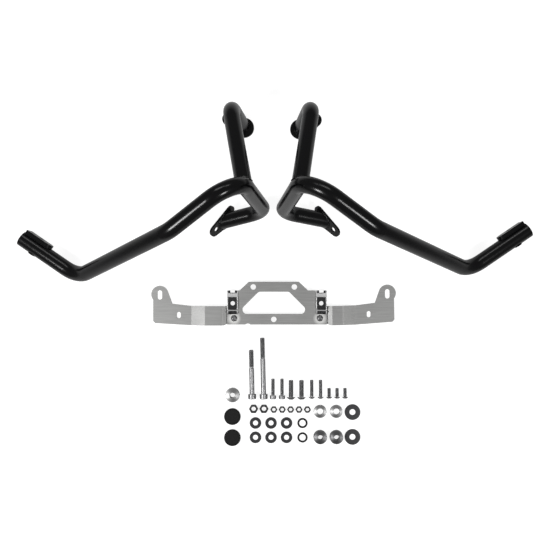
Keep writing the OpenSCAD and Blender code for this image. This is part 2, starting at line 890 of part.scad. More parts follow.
module joint_nut(x) {
    color(dark_steel)
        translate([bracket_x + x, joint_y, 0])
            hex_nut(m6_d * 5 / 3, joint_nut_h, m6_d);
}

module socket_screw_m8(i, len) {
    color(dark_steel)
        lying(socket_m8_x[i], socket_m8_y, len, m8_d, m8_head[0], m8_head[1], socket_m8_yaw[i])
            cap_screw(len, m8_d, m8_head[0], m8_head[1], m8_head[2]);
}

module socket_screws_m6() {
    color(dark_steel)
        for (i = [0, 1])
            lying(socket_m6_x + i * socket_m6_pitch, socket_m6_y, socket_m6_len, m6_d,
                m6_head[0], m6_head[1])
                cap_screw(socket_m6_len, m6_d, m6_head[0], m6_head[1], m6_head[2]);
}

module button_screws_m8() {
    color(dark_steel)
        for (i = [0, 1])
            lying(button_m8_x + i * button_m8_pitch, button_m8_y, button_m8_len, m8_d,
                m8_button[0], m8_button[1])
                button_screw(button_m8_len, m8_d, m8_button[0], m8_button[1], m8_button[2]);
}

module button_screws_m6() {
    color(dark_steel)
        for (i = [0, 1])
            lying(button_m6_x + i * button_m6_pitch, button_m6_y, button_m6_len, m6_d,
                m6_button[0], m6_button[1])
                button_screw(button_m6_len, m6_d, m6_button[0], m6_button[1], m6_button[2]);
}

module short_button_screws_m6() {
    color(dark_steel)
        for (i = [0 : 2])
            lying(short_m6_x + i * short_m6_pitch, short_m6_y, short_m6_len, m6_d,
                m6_button[0], m6_button[1])
                button_screw(short_m6_len, m6_d, m6_button[0], m6_button[1], m6_button[2]);
}

module nuts_m8() {
    color(dark_steel)
        for (i = [0, 1])
            translate([m8_nut_x + i * m8_nut_pitch, m8_nut_y, 0])
                hex_nut(m8_d * 13 / 8, m8_nut_h, m8_d);
}

module nuts_m6() {
    color(dark_steel)
        for (i = [0 : 4])
            translate([m6_nut_x + i * m6_nut_pitch, m6_nut_y, 0])
                hex_nut(m6_d * 5 / 3, m6_nut_h, m6_d);
}

module plain_washers() {
    color(dark_steel)
        for (i = [0 : 2], row = [0, 1])
            translate([washer_x + i * washer_pitch, washer_y - row * washer_row, 0])
                ring_of(washer_d, spacer_bore, washer_t);
}

module rubber_rings() {
    color(black_rubber)
        for (row = [0, 1])
            translate([ring_x, washer_y - row * washer_row, ring_cord / 2])
                rotate_extrude()
                    translate([(ring_d - ring_cord) / 2, 0])
                        circle(d = ring_cord);
}

module wide_washers() {
    color(dark_steel)
        for (i = [0, 1])
            translate([wide_washer_x, wide_washer_y - i * wide_washer_pitch, 0])
                ring_of(wide_washer_d, wide_washer_bore, wide_washer_t);
}

module large_spacer() {
    color(bright_steel)
        translate([plug_x, large_spacer_y, 0])
            ring_of(large_spacer_d, spacer_bore, large_spacer_h);
}

module open_spacers() {
    color(bright_steel)
        for (i = [0, 1])
            translate([spacer_x + i * spacer_pitch, open_spacer_y, 0])
                ring_of(open_spacer_d, open_bore, open_spacer_h);
}

module thick_spacers() {
    color(bright_steel)
        for (i = [0, 1])
            translate([spacer_x + i * spacer_pitch, thick_spacer_y, 0])
                ring_of(thick_spacer_d, spacer_bore, thick_spacer_h);
}

module tube_plugs() {
    stem_d = tube_d - 2 * tube_wall - 0.4;
    color(black_rubber)
        for (i = [0, 1])
            translate([plug_x, plug_y - i * plug_pitch, 0]) {
                translate([0, 0, plug_stem])
                    cylinder(h = plug_head_h, d = plug_head_d);
                difference() {
                    cylinder(h = plug_stem, d = stem_d);
                    translate([0, 0, -overcut])
                        cylinder(h = plug_stem + overcut, d = stem_d - 3.6);
                }
            }
}

module placed() {
    translate([kit_shift[0], kit_shift[1], 0])
        children();
}

placed() on_left() main_tube();  // left_main_tube
placed() on_left() leg_tube();  // left_leg_tube
placed() on_left() foot_plate();  // left_foot_plate
placed() on_left() tab_plate();  // left_tab_plate
placed() on_left() end_plate();  // left_end_plate
placed() on_left() cross_sleeve();  // left_cross_sleeve
placed() on_right() main_tube();  // right_main_tube
placed() on_right() leg_tube();  // right_leg_tube
placed() on_right() foot_plate();  // right_foot_plate
placed() on_right() tab_plate();  // right_tab_plate
placed() on_right() end_plate();  // right_end_plate
placed() on_right() cross_sleeve();  // right_cross_sleeve
placed() bracket_plate();
placed() left_arm();
placed() right_arm();
placed() clip_nut(-left_clip_x);  // left_clip_nut
placed() clip_nut(right_clip_x);  // right_clip_nut
placed() joint_screw(joint_in - left_clip_x);  // left_joint_screw
placed() joint_screw(right_clip_x - joint_in);  // right_joint_screw
placed() joint_nut(joint_in - left_clip_x);  // left_joint_nut
placed() joint_nut(right_clip_x - joint_in);  // right_joint_nut
placed() socket_screw_m8(0, socket_m8_short);  // socket_screw_m8_short
placed() socket_screw_m8(1, socket_m8_long);  // socket_screw_m8_long
placed() socket_screws_m6();
placed() button_screws_m8();
placed() button_screws_m6();
placed() short_button_screws_m6();
placed() nuts_m8();
placed() nuts_m6();
placed() plain_washers();
placed() wide_washers();
placed() rubber_rings();
placed() large_spacer();
placed() open_spacers();
placed() thick_spacers();
placed() tube_plugs();
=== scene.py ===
import math

import bpy
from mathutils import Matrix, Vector


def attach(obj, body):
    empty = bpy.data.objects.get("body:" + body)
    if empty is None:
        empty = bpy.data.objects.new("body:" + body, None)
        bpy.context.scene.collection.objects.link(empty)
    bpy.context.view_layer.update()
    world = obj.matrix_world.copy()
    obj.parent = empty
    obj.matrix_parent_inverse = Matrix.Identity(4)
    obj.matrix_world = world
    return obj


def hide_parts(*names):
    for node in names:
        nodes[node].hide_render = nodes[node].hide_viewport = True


# Motorcycle crash bar kit: black bars, a bare steel bracket and loose hardware on a white floor.

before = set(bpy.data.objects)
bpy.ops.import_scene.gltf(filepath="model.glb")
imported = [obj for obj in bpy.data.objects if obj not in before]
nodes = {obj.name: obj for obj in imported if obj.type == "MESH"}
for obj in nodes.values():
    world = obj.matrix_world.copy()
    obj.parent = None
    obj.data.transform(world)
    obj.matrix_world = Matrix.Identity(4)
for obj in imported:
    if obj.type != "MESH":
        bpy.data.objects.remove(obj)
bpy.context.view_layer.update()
print("stage: frame loaded,", len(nodes), "nodes")

scene = bpy.context.scene
scene.view_settings.view_transform = "Standard"
mm = 0.001


def linear(hexColour):  # sRGB hex to linear
    out = []
    for k in (1, 3, 5):
        c = int(hexColour[k:k + 2], 16) / 255
        out.append(c / 12.92 if c <= 0.04045 else ((c + 0.055) / 1.055) ** 2.4)
    return (*out, 1)


def addNode(tree, kind, settings=None, inputs=None, links=None):
    node = tree.nodes.new(kind)
    for name, value in (settings or {}).items():
        setattr(node, name, value)
    for name, value in (inputs or {}).items():
        node.inputs[name].default_value = value
    for name, source in (links or {}).items():
        tree.links.new(source, node.inputs[name])
    return node


def startMaterial(name):
    material = bpy.data.materials.new(name)
    material.use_nodes = True
    material.node_tree.nodes.clear()
    return material, material.node_tree


def endMaterial(tree, shader):
    addNode(tree, "ShaderNodeOutputMaterial", links={"Surface": shader.outputs[0]})


def addNoise(tree, place, sizeMm, detail):
    return addNode(tree, "ShaderNodeTexNoise", inputs={"Scale": 1 / (sizeMm * mm), "Detail": detail},
                   links={"Vector": place})


def addTone(tree, first, second, share):  # share is the socket that blends the two colours
    return addNode(tree, "ShaderNodeMix", {"data_type": "RGBA"},
                   {"A": linear(first), "B": linear(second)}, {"Factor": share})


def addRange(tree, ends, share):
    return addNode(tree, "ShaderNodeMapRange", inputs={"To Min": ends[0], "To Max": ends[1]},
                   links={"Value": share})


def addBump(tree, relief, height):  # relief is strength and height in millimetres
    return addNode(tree, "ShaderNodeBump", inputs={"Strength": relief[0], "Distance": relief[1] * mm},
                   links={"Height": height})


def addEitherSide(tree, x, middleMm):  # distance from a middle line, the same on both sides
    fromMiddle = addNode(tree, "ShaderNodeMath", {"operation": "SUBTRACT"}, {1: middleMm * mm}, {0: x})
    return addNode(tree, "ShaderNodeMath", {"operation": "ABSOLUTE"}, links={0: fromMiddle.outputs[0]})


# camera straight above the middle of the photograph
cameraAt = {"x": 0, "y": 5.3 * mm, "height": 1360 * mm, "lens": 53.95}


def addCamera(v):
    data = bpy.data.cameras.new("camera")
    data.lens = v["lens"]
    data.sensor_width = 36
    data.clip_end = 20
    camera = bpy.data.objects.new("camera", data)
    camera.location = (v["x"], v["y"], v["height"])
    scene.collection.objects.link(camera)
    scene.camera = camera


addCamera(cameraAt)

studio = {
    "world": "#b4b4b4", "worldPower": 0.46,
    "softbox": [
        # place, size, power, aims at the middle
        ((-1.08, -0.5, 1.4), (0.42, 0.4), 20),
        ((0.95, -0.58, 1.4), (0.4, 0.3), 11),
        ((0.0, 1.5, 1.4), (1.6, 0.3), 7),
    ],
    "floor": "#a0a0a0", "floorGlow": 0.86, "mirrorGlow": 0.3, "fadeFrom": 0.45, "fadeTo": 1.0,
    "floorSize": 12,
}


def addStudio(v):
    world = bpy.data.worlds.new("studio")
    scene.world = world
    world.use_nodes = True
    background = world.node_tree.nodes["Background"]
    background.inputs["Color"].default_value = linear(v["world"])
    background.inputs["Strength"].default_value = v["worldPower"]
    for place, size, power in v["softbox"]:
        data = bpy.data.lights.new("softbox", "AREA")
        data.shape = "RECTANGLE"
        data.size, data.size_y = size
        data.energy = power
        lamp = bpy.data.objects.new("softbox", data)
        lamp.location = place
        lamp.rotation_euler = (-Vector(place)).to_track_quat("-Z", "Y").to_euler()
        scene.collection.objects.link(lamp)
    bpy.ops.object.select_all(action="DESELECT")
    bpy.ops.mesh.primitive_plane_add(size=v["floorSize"], location=(0, 0, -0.0005))
    floor = bpy.context.object
    floor.name = "floor"
    material, tree = startMaterial("whiteSweep")
    path = addNode(tree, "ShaderNodeLightPath")
    seen = addNode(tree, "ShaderNodeMath", {"operation": "MAXIMUM"}, links={
        0: path.outputs["Is Camera Ray"], 1: path.outputs["Is Transmission Ray"]})
    white = addNode(tree, "ShaderNodeMath", {"operation": "MULTIPLY"}, {1: v["floorGlow"]},
                    {0: seen.outputs[0]})
    place = addNode(tree, "ShaderNodeTexCoord")
    away = addNode(tree, "ShaderNodeVectorMath", {"operation": "LENGTH"},
                   links={0: place.outputs["Object"]})
    fade = addNode(tree, "ShaderNodeMapRange", inputs={
        "From Min": v["fadeFrom"], "From Max": v["fadeTo"], "To Min": v["mirrorGlow"], "To Max": 0},
        links={"Value": away.outputs["Value"]})
    glow = addNode(tree, "ShaderNodeMath", {"operation": "MULTIPLY_ADD"}, links={
        0: path.outputs["Is Glossy Ray"], 1: fade.outputs["Result"], 2: white.outputs[0]})
    paper = addNode(tree, "ShaderNodeBsdfPrincipled", inputs={
        "Base Color": linear(v["floor"]), "Roughness": 0.9,
        "Emission Color": (1, 1, 1, 1)}, links={"Emission Strength": glow.outputs[0]})
    endMaterial(tree, paper)
    floor.data.materials.append(material)


addStudio(studio)
print("stage: camera, lights and floor")

# Powder coat on steel tube: baked polyester, semi-gloss, with a faint orange peel that
# breaks up the long highlights. The peel is drawn coarser than real, so that it shows.
powderCoatLook = {"colour": "#080809", "deep": "#040405", "roughness": (0.16, 0.26), "gloss": 0.3,
                  "cloudMm": 60, "peelMm": 2.5, "relief": (0.02, 0.2)}


def makePowderCoat(v):
    material, tree = startMaterial("powderCoat")
    place = addNode(tree, "ShaderNodeTexCoord").outputs["Object"]
    peel = addNoise(tree, place, v["peelMm"], 2)
    cloud = addNoise(tree, place, v["cloudMm"], 1)
    tone = addTone(tree, v["colour"], v["deep"], cloud.outputs["Fac"])
    bump = addBump(tree, v["relief"], peel.outputs["Fac"])
    rough = addRange(tree, v["roughness"], cloud.outputs["Fac"])
    coat = addNode(tree, "ShaderNodeBsdfPrincipled",
                   inputs={"IOR": 1.5, "Specular IOR Level": v["gloss"]},
                   links={"Base Color": tone.outputs["Result"], "Normal": bump.outputs["Normal"],
                          "Roughness": rough.outputs["Result"]})
    endMaterial(tree, coat)
    return material


# Bare stainless sheet: laser cut and satin rolled, so it is a calm mid grey with
# fine lines along its length. Round the joint screws a pale patch is painted in as a highlight.
sheetLook = {"colour": "#acacab", "streak": "#8a8a89", "rubbed": "#e2e2e0", "roughness": (0.47, 0.6),
             "lineMm": 1.2, "stretch": 0.04, "relief": (0.08, 0.1), "cloudMm": 25,
             "middle": 3.25, "joint": (70.5, -66), "rub": (4.8, 12)}


def makeSheetSteel(v):
    material, tree = startMaterial("satinStainlessSheet")
    place = addNode(tree, "ShaderNodeTexCoord").outputs["Object"]
    stretch = addNode(tree, "ShaderNodeMapping", inputs={"Scale": (v["stretch"], 1, 1)},
                      links={"Vector": place})
    lines = addNoise(tree, stretch.outputs[0], v["lineMm"], 3)
    cloud = addNoise(tree, place, v["cloudMm"], 2)
    tone = addTone(tree, v["colour"], v["streak"], lines.outputs["Fac"])
    apart = addNode(tree, "ShaderNodeSeparateXYZ", links={"Vector": place})
    eitherSide = addEitherSide(tree, apart.outputs["X"], v["middle"])
    flat = addNode(tree, "ShaderNodeCombineXYZ",
                   links={"X": eitherSide.outputs[0], "Y": apart.outputs["Y"]})
    joint = (v["joint"][0] * mm, v["joint"][1] * mm, 0)
    fromJoint = addNode(tree, "ShaderNodeVectorMath", {"operation": "DISTANCE"}, {1: joint},
                        {0: flat.outputs[0]})
    # Painted highlight: a pale disc round each joint screw, full inside the first radius and gone past
    # the second.
    rubbed = addNode(tree, "ShaderNodeMapRange",
                     inputs={"From Min": v["rub"][0] * mm, "From Max": v["rub"][1] * mm,
                             "To Min": 1, "To Max": 0},
                     links={"Value": fromJoint.outputs["Value"]})
    tone = addNode(tree, "ShaderNodeMix", {"data_type": "RGBA"}, {"B": linear(v["rubbed"])},
                   {"Factor": rubbed.outputs["Result"], "A": tone.outputs["Result"]})
    bump = addBump(tree, v["relief"], lines.outputs["Fac"])
    rough = addRange(tree, v["roughness"], cloud.outputs["Fac"])
    steel = addNode(tree, "ShaderNodeBsdfPrincipled", inputs={"Metallic": 1.0},
                    links={"Base Color": tone.outputs["Result"], "Normal": bump.outputs["Normal"],
                           "Roughness": rough.outputs["Result"]})
    endMaterial(tree, steel)
    return material


# Cold headed and rolled stainless steel: mid grey with soft blotches.
screwLook = {"colour": "#a2a2a3", "deep": "#777778", "roughness": (0.35, 0.5), "blotchMm": 3}
# Blackened nuts and stamped washers: dark, with the sheen of oiled steel.
nutLook = {"colour": "#5c5c5d", "deep": "#3c3c3d", "roughness": (0.31, 0.46), "blotchMm": 3}
washerLook = {"colour": "#505052", "deep": "#3d3d3e", "roughness": (0.35, 0.5), "blotchMm": 2.5}
# Phosphated spring steel: dull dark grey and a little powdery, with painted highlights
# on the bend, the side walls and the lip. A band is its middle and half width.
springLook = {"colour": "#5a5a5b", "deep": "#2e2e2f", "rubbed": "#e6e6e6", "roughness": (0.29, 0.44),
              "blotchMm": 1.6, "middle": 3.25, "leaf": (72.75, 7.1), "bend": (-27.6, 3.2),
              "lip": (-52.6, 0.8)}
# Turned aluminium: pale and bright.
turnedLook = {"colour": "#a2a2a2", "deep": "#868686", "roughness": (0.35, 0.5), "blotchMm": 2}
# Turned steel, greyer and darker than the aluminium.
darkTurnedLook = {"colour": "#6f6f70", "deep": "#545455", "roughness": (0.35, 0.5), "blotchMm": 2}


def makeBlotchedMetal(name, v):
    material, tree = startMaterial(name)
    place = addNode(tree, "ShaderNodeTexCoord").outputs["Object"]
    blotch = addNoise(tree, place, v["blotchMm"], 3)
    tone = addTone(tree, v["colour"], v["deep"], blotch.outputs["Fac"])
    rough = addRange(tree, v["roughness"], blotch.outputs["Fac"])
    metal = addNode(tree, "ShaderNodeBsdfPrincipled", inputs={"Metallic": 1.0},
                    links={"Base Color": tone.outputs["Result"], "Roughness": rough.outputs["Result"]})
    endMaterial(tree, metal)
    return material


def makeSpringSteel(v):
    material = makeBlotchedMetal("phosphatedSpringSteel", v)
    tree = material.node_tree
    place = addNode(tree, "ShaderNodeTexCoord").outputs["Object"]
    apart = addNode(tree, "ShaderNodeSeparateXYZ", links={"Vector": place})
    eitherSide = addEitherSide(tree, apart.outputs["X"], v["middle"])
    onLeaf = addNode(tree, "ShaderNodeMath", {"operation": "COMPARE"},
                     {1: v["leaf"][0] * mm, 2: v["leaf"][1] * mm}, {0: eitherSide.outputs[0]})
    # Painted highlight: the side walls first, then the bend and lip bands, all take a pale colour.
    rubbed = addNode(tree, "ShaderNodeMath", {"operation": "SUBTRACT"}, {0: 1},
                     {1: onLeaf.outputs[0]})
    for key in ("bend", "lip"):
        band = addNode(tree, "ShaderNodeMath", {"operation": "COMPARE"},
                       {1: v[key][0] * mm, 2: v[key][1] * mm}, {0: apart.outputs["Y"]})
        rubbed = addNode(tree, "ShaderNodeMath", {"operation": "MAXIMUM"},
                         links={0: rubbed.outputs[0], 1: band.outputs[0]})
    shader = next(node for node in tree.nodes if node.type == "BSDF_PRINCIPLED")
    plain = shader.inputs["Base Color"].links[0].from_socket
    highlighted = addNode(tree, "ShaderNodeMix", {"data_type": "RGBA"}, {"B": linear(v["rubbed"])},
                   {"Factor": rubbed.outputs[0], "A": plain})
    tree.links.new(highlighted.outputs["Result"], shader.inputs["Base Color"])
    return material


# Moulded polyamide: black and matt, with a spark-eroded grain drawn coarser than real.
grainLook = {"colour": "#171717", "deep": "#000000", "roughness": 0.5, "gloss": 0.2, "grainMm": 1.6,
             "relief": (0.35, 0.15)}


def makeGrainedPlastic(v):
    material, tree = startMaterial("grainedPolyamide")
    place = addNode(tree, "ShaderNodeTexCoord")
    grain = addNode(tree, "ShaderNodeTexVoronoi", inputs={"Scale": 1 / (v["grainMm"] * mm)},
                    links={"Vector": place.outputs["Object"]})
    tone = addTone(tree, v["deep"], v["colour"], grain.outputs["Distance"])
    bump = addBump(tree, v["relief"], grain.outputs["Distance"])
    plastic = addNode(tree, "ShaderNodeBsdfPrincipled",
                      inputs={"Roughness": v["roughness"], "Specular IOR Level": v["gloss"]},
                      links={"Base Color": tone.outputs["Result"], "Normal": bump.outputs["Normal"]})
    endMaterial(tree, plastic)
    return material


# Moulded rubber: deep black and quite matt, with a faint dusty bloom.
rubberLook = {"colour": "#0b0b0b", "bloom": "#141414", "roughness": 0.5, "gloss": 0.2, "cloudMm": 4,
              "relief": (0.1, 0.05)}


def makeRubber(v):
    material, tree = startMaterial("mouldedRubber")
    place = addNode(tree, "ShaderNodeTexCoord").outputs["Object"]
    cloud = addNoise(tree, place, v["cloudMm"], 4)
    tone = addTone(tree, v["colour"], v["bloom"], cloud.outputs["Fac"])
    bump = addBump(tree, v["relief"], cloud.outputs["Fac"])
    rubber = addNode(tree, "ShaderNodeBsdfPrincipled",
                     inputs={"Roughness": v["roughness"], "Specular IOR Level": v["gloss"]},
                     links={"Base Color": tone.outputs["Result"], "Normal": bump.outputs["Normal"]})
    endMaterial(tree, rubber)
    return material


powderCoat = makePowderCoat(powderCoatLook)
sheetSteel = makeSheetSteel(sheetLook)
screwSteel = makeBlotchedMetal("rolledStainless", screwLook)
nutSteel = makeBlotchedMetal("blackenedSteel", nutLook)
washerSteel = makeBlotchedMetal("stampedSteel", washerLook)
springSteel = makeSpringSteel(springLook)
turnedAluminium = makeBlotchedMetal("turnedAluminium", turnedLook)
turnedSteel = makeBlotchedMetal("turnedSteel", darkTurnedLook)
grainedPlastic = makeGrainedPlastic(grainLook)
ringRubber = makeRubber(rubberLook)
print("stage: materials")


# Modelling helpers: select in code, shape with operators, settle on the frame

def makeActive(piece):
    if bpy.context.mode != "OBJECT":
        bpy.ops.object.mode_set(mode="OBJECT")
    bpy.ops.object.select_all(action="DESELECT")
    piece.select_set(True)
    bpy.context.view_layer.objects.active = piece


def pickFaces(piece, test):  # edit mode with only the faces that pass the test
    makeActive(piece)
    bpy.ops.object.mode_set(mode="EDIT")
    bpy.ops.mesh.select_mode(type="FACE")
    bpy.ops.mesh.select_all(action="DESELECT")
    bpy.ops.object.mode_set(mode="OBJECT")
    for face in piece.data.polygons:
        face.select = test(face)
    bpy.ops.object.mode_set(mode="EDIT")


def pickAll(piece):
    makeActive(piece)
    bpy.ops.object.mode_set(mode="EDIT")
    bpy.ops.mesh.select_all(action="SELECT")


def leaveEdit():
    bpy.ops.object.mode_set(mode="OBJECT")


def isTop(face):
    return face.normal.z > 0.995


def isBottom(face):
    return face.normal.z < -0.995


def addBlock(size, at):  # both in millimetres
    bpy.ops.object.select_all(action="DESELECT")
    bpy.ops.mesh.primitive_cube_add(size=1 * mm)
    block = bpy.context.object
    block.scale = size
    block.location = [k * mm for k in at]
    bpy.ops.object.transform_apply(location=True, rotation=True, scale=True)
    return block


def addCylinder(name, radius, low, high, sides=48):
    bpy.ops.object.select_all(action="DESELECT")
    bpy.ops.mesh.primitive_cylinder_add(vertices=sides, radius=radius * mm, depth=(high - low) * mm,
                                        location=(0, 0, (low + high) / 2 * mm))
    piece = bpy.context.object
    piece.name = name
    bpy.ops.object.transform_apply(location=True, rotation=True, scale=True)
    return piece


def finishWith(piece, kind, **settings):
    makeActive(piece)
    modifier = piece.modifiers.new(kind.lower(), kind)
    for name, value in settings.items():
        setattr(modifier, name, value)
    bpy.ops.object.modifier_apply(modifier=modifier.name)


def carve(piece, cutter, operation="DIFFERENCE"):
    finishWith(piece, "BOOLEAN", object=cutter, operation=operation, solver="EXACT")
    bpy.data.objects.remove(cutter)


def joinPieces(pieces):
    makeActive(pieces[0])
    for piece in pieces[1:]:
        piece.select_set(True)
    bpy.ops.object.join()
    return pieces[0]


def softenEdges(piece, width, segments=2, angle=35):
    finishWith(piece, "BEVEL", width=width * mm, segments=segments, limit_method="ANGLE",
               angle_limit=math.radians(angle), use_clamp_overlap=True)


def settle(piece, material, slotName, *stoodFor):
    makeActive(piece)
    bpy.ops.object.transform_apply(location=True, rotation=True, scale=True)
    piece.data.materials.clear()
    piece.data.materials.append(material)
    bpy.ops.object.shade_smooth_by_angle(angle=math.radians(32))
    finishWith(piece, "WEIGHTED_NORMAL", keep_sharp=True, weight=100)
    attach(piece, "root")
    if stoodFor:
        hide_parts(*stoodFor)


kitShift = (0, 5.3)  # as in the solids


def layOut(pattern, name, places, material, slotName, node):
    # copies of the pattern at places given as x, y, z, and turns about X and Z in degrees
    for k, (x, y, z, tip, yaw) in enumerate(places):
        makeActive(pattern)
        bpy.ops.object.duplicate(linked=False)
        twin = bpy.context.object
        twin.name = name + str(k + 1)
        twin.location = ((x + kitShift[0]) * mm, (y + kitShift[1]) * mm, z * mm)
        twin.rotation_euler = (math.radians(tip), 0, math.radians(yaw))
        settle(twin, material, slotName, node)
    bpy.data.objects.remove(pattern)


# Washers: punched rings with rounded rims

# sizes and places in millimetres, here and below
plainWasher = {"outer": 19.2, "bore": 8.4, "thick": 1.6, "rim": 0.35,
               "x": (-32.2, -6.6, 19.0), "y": (-244, -267.7)}
wideWasher = {"outer": 26, "bore": 9.8, "thick": 2, "rim": 0.45,
              "x": (127.7,), "y": (-226, -266.9)}


def makeRing(name, v, height):
    ring = addCylinder(name, v["outer"] / 2, 0, height, 72)
    pickFaces(ring, lambda face: abs(face.normal.z) > 0.9)
    bpy.ops.mesh.inset(thickness=(v["outer"] - v["bore"]) / 2 * mm)
    bpy.ops.mesh.bridge_edge_loops()
    leaveEdit()
    return ring


def makeWasher(name, v):
    washer = makeRing(name, v, v["thick"])
    softenEdges(washer, v["rim"])
    return washer


for name, v, node in (("plainWasher", plainWasher, "plain_washers"),
                      ("wideWasher", wideWasher, "wide_washers")):
    layOut(makeWasher("washer", v), name, [(x, y, 0, 0, 0) for x in v["x"] for y in v["y"]],
           washerSteel, "dark_steel", node)
print("stage: washers")


# Spacers: turned, each with a shallow cone falling from the bore to the rim

largeSpacer = {"outer": 23.2, "bore": 8.4, "high": 10, "fall": 1.6, "land": 1.2, "rim": 0.3,
               "places": [(-69.7, -197.3)]}
openSpacer = {"outer": 21.2, "bore": 10.2, "high": 6, "fall": 1.5, "land": 0.8, "rim": 0.3,
              "places": [(74.3, -224.6), (100.9, -224.6)]}
thickSpacer = {"outer": 22, "bore": 8.4, "high": 12, "fall": 1.8, "land": 0.9, "rim": 0.3,
               "places": [(74.3, -266.3), (100.9, -266.3)]}


def makeSpacer(name, v):
    spacer = makeRing(name, v, v["high"] - v["fall"])
    pickFaces(spacer, isTop)
    bpy.ops.mesh.inset(thickness=v["land"] * mm)
    leaveEdit()
    reach = (v["outer"] / 2 + v["bore"] / 2) / 2 * mm
    for vertex in spacer.data.vertices:  # the bore's edge and its land stand highest
        if vertex.co.z > (v["high"] - v["fall"] - 0.1) * mm and vertex.co.xy.length < reach:
            vertex.co.z += v["fall"] * mm
    softenEdges(spacer, v["rim"])
    return spacer


for name, v, metal, node in (("largeSpacer", largeSpacer, turnedAluminium, "large_spacer"),
                             ("openSpacer", openSpacer, turnedAluminium, "open_spacers"),
                             ("thickSpacer", thickSpacer, turnedSteel, "thick_spacers")):
    layOut(makeSpacer("spacer", v), name, [(x, y, 0, 0, 0) for x, y in v["places"]],
           metal, "bright_steel", node)
print("stage: spacers")


# Tube plugs: a low cap with a sunk grained field, and a hollow barbed stem below

tubePlug = {"cap": 27.2, "low": 10, "high": 14, "edge": 1.1, "rim": 1.5, "sunk": 0.35,
            "stem": 20.4, "wall": 1.8, "barbs": 3, "barb": 1.015,
            "places": [(-69.7, -231.6), (-69.7, -266.1)]}


def makePlug(v):
    plug = addCylinder("plug", v["cap"] / 2, v["low"], v["high"], 72)
    pickFaces(plug, isTop)
    bpy.ops.mesh.bevel(offset=v["edge"] * mm, segments=4, affect="EDGES")
    pickFaces(plug, isTop)
    bpy.ops.mesh.inset(thickness=v["rim"] * mm)
    bpy.ops.mesh.inset(thickness=0.3 * mm, depth=-v["sunk"] * mm)
    pickFaces(plug, isBottom)
    bpy.ops.mesh.inset(thickness=(v["cap"] - v["stem"]) / 2 * mm)
    step = (v["low"] - 1) / v["barbs"] / 3 * mm
    for k in range(v["barbs"]):
        bpy.ops.mesh.extrude_region_move(TRANSFORM_OT_translate={"value": (0, 0, -step)})
        bpy.ops.mesh.extrude_region_move(TRANSFORM_OT_translate={"value": (0, 0, 0)})
        bpy.ops.transform.resize(value=(v["barb"], v["barb"], 1))
        bpy.ops.mesh.extrude_region_move(TRANSFORM_OT_translate={"value": (0, 0, -2 * step)})
        bpy.ops.transform.resize(value=(1 / v["barb"], 1 / v["barb"], 1))
    bpy.ops.mesh.inset(thickness=v["wall"] * mm)
    bpy.ops.mesh.extrude_region_move(TRANSFORM_OT_translate={"value": (0, 0, (v["low"] - 1.5) * mm)})
    leaveEdit()
    return plug


layOut(makePlug(tubePlug), "tubePlug", [(x, y, 0, 0, 0) for x, y in tubePlug["places"]],
       grainedPlastic, "black_plastic", "tube_plugs")
print("stage: tube plugs")


# Threads: one tooth, turned up the shank, its ends faded out

threadSteps = 24  # to a turn


def makeThread(radius, pitch, low, high, side=1, depth=0.5):  # side 1 stands outwards, -1 inwards
    turns = int((high - low) / pitch) - 1
    low = high - (turns + 1) * pitch
    bpy.ops.object.select_all(action="DESELECT")
    bpy.ops.mesh.primitive_circle_add(vertices=4, radius=pitch / 2 * mm, fill_type="NOTHING",
                                      rotation=(math.pi / 2, 0, 0),
                                      location=(radius * mm, 0, (low + pitch / 2) * mm))
    thread = bpy.context.object
    bpy.ops.object.transform_apply(location=True, rotation=True, scale=True)
    bpy.ops.object.mode_set(mode="EDIT")
    bpy.ops.mesh.select_mode(type="VERT")
    bpy.ops.mesh.select_all(action="DESELECT")
    leaveEdit()
    for vertex in thread.data.vertices:  # three corners stay: root, crest, root
        lift = side * (vertex.co.x - radius * mm)
        vertex.select = lift < -0.2 * pitch * mm
        if lift > 0.2 * pitch * mm:
            vertex.co.x = (radius + side * depth * pitch) * mm
    bpy.ops.object.mode_set(mode="EDIT")
    bpy.ops.mesh.delete(type="VERT")
    leaveEdit()
    finishWith(thread, "SCREW", axis="Z", angle=2 * math.pi, screw_offset=pitch * mm,
               iterations=turns, steps=threadSteps, render_steps=threadSteps,
               use_merge_vertices=True, merge_threshold=0.002 * mm)
    for vertex in thread.data.vertices:  # the first and last half turn run out
        z = vertex.co.z / mm
        fade = min(z - low - pitch / 2, high - pitch / 2 - z) / (pitch / 2)
        across = vertex.co.xy.length
        wanted = radius * mm + (across - radius * mm) * max(0, min(1, fade))
        vertex.co.x *= wanted / across
        vertex.co.y *= wanted / across
    pickAll(thread)
    bpy.ops.mesh.remove_doubles(threshold=0.002 * mm)
    bpy.ops.mesh.normals_make_consistent(inside=side < 0)
    leaveEdit()
    return thread


def makeShank(v):
    core = v["d"] / 2 - 0.5 * v["pitch"]
    shank = addCylinder("shank", core + 0.03, -0.2, v["long"], 32)
    pickFaces(shank, isTop)
    bpy.ops.mesh.bevel(offset=0.4 * mm, segments=1, affect="EDGES")
    leaveEdit()
    parts = [shank]
    plain = v["long"] - v["thread"]
    if plain > 0:
        neck = addCylinder("neck", v["d"] / 2, -0.2, plain, 32)
        pickFaces(neck, isTop)
        bpy.ops.mesh.bevel(offset=0.6 * mm, segments=1, affect="EDGES")
        leaveEdit()
        parts.append(neck)
    parts.append(makeThread(core, v["pitch"], max(plain, 0) + 0.1, v["long"] - 0.05))
    return parts


def cutHexSocket(head, v):
    key = addCylinder("key", v["key"] / math.sqrt(3), -1.5 * v["head"][1], -0.5 * v["head"][1], 6)
    carve(head, key)


# Socket head: cold headed, knurled all round, rim rounded

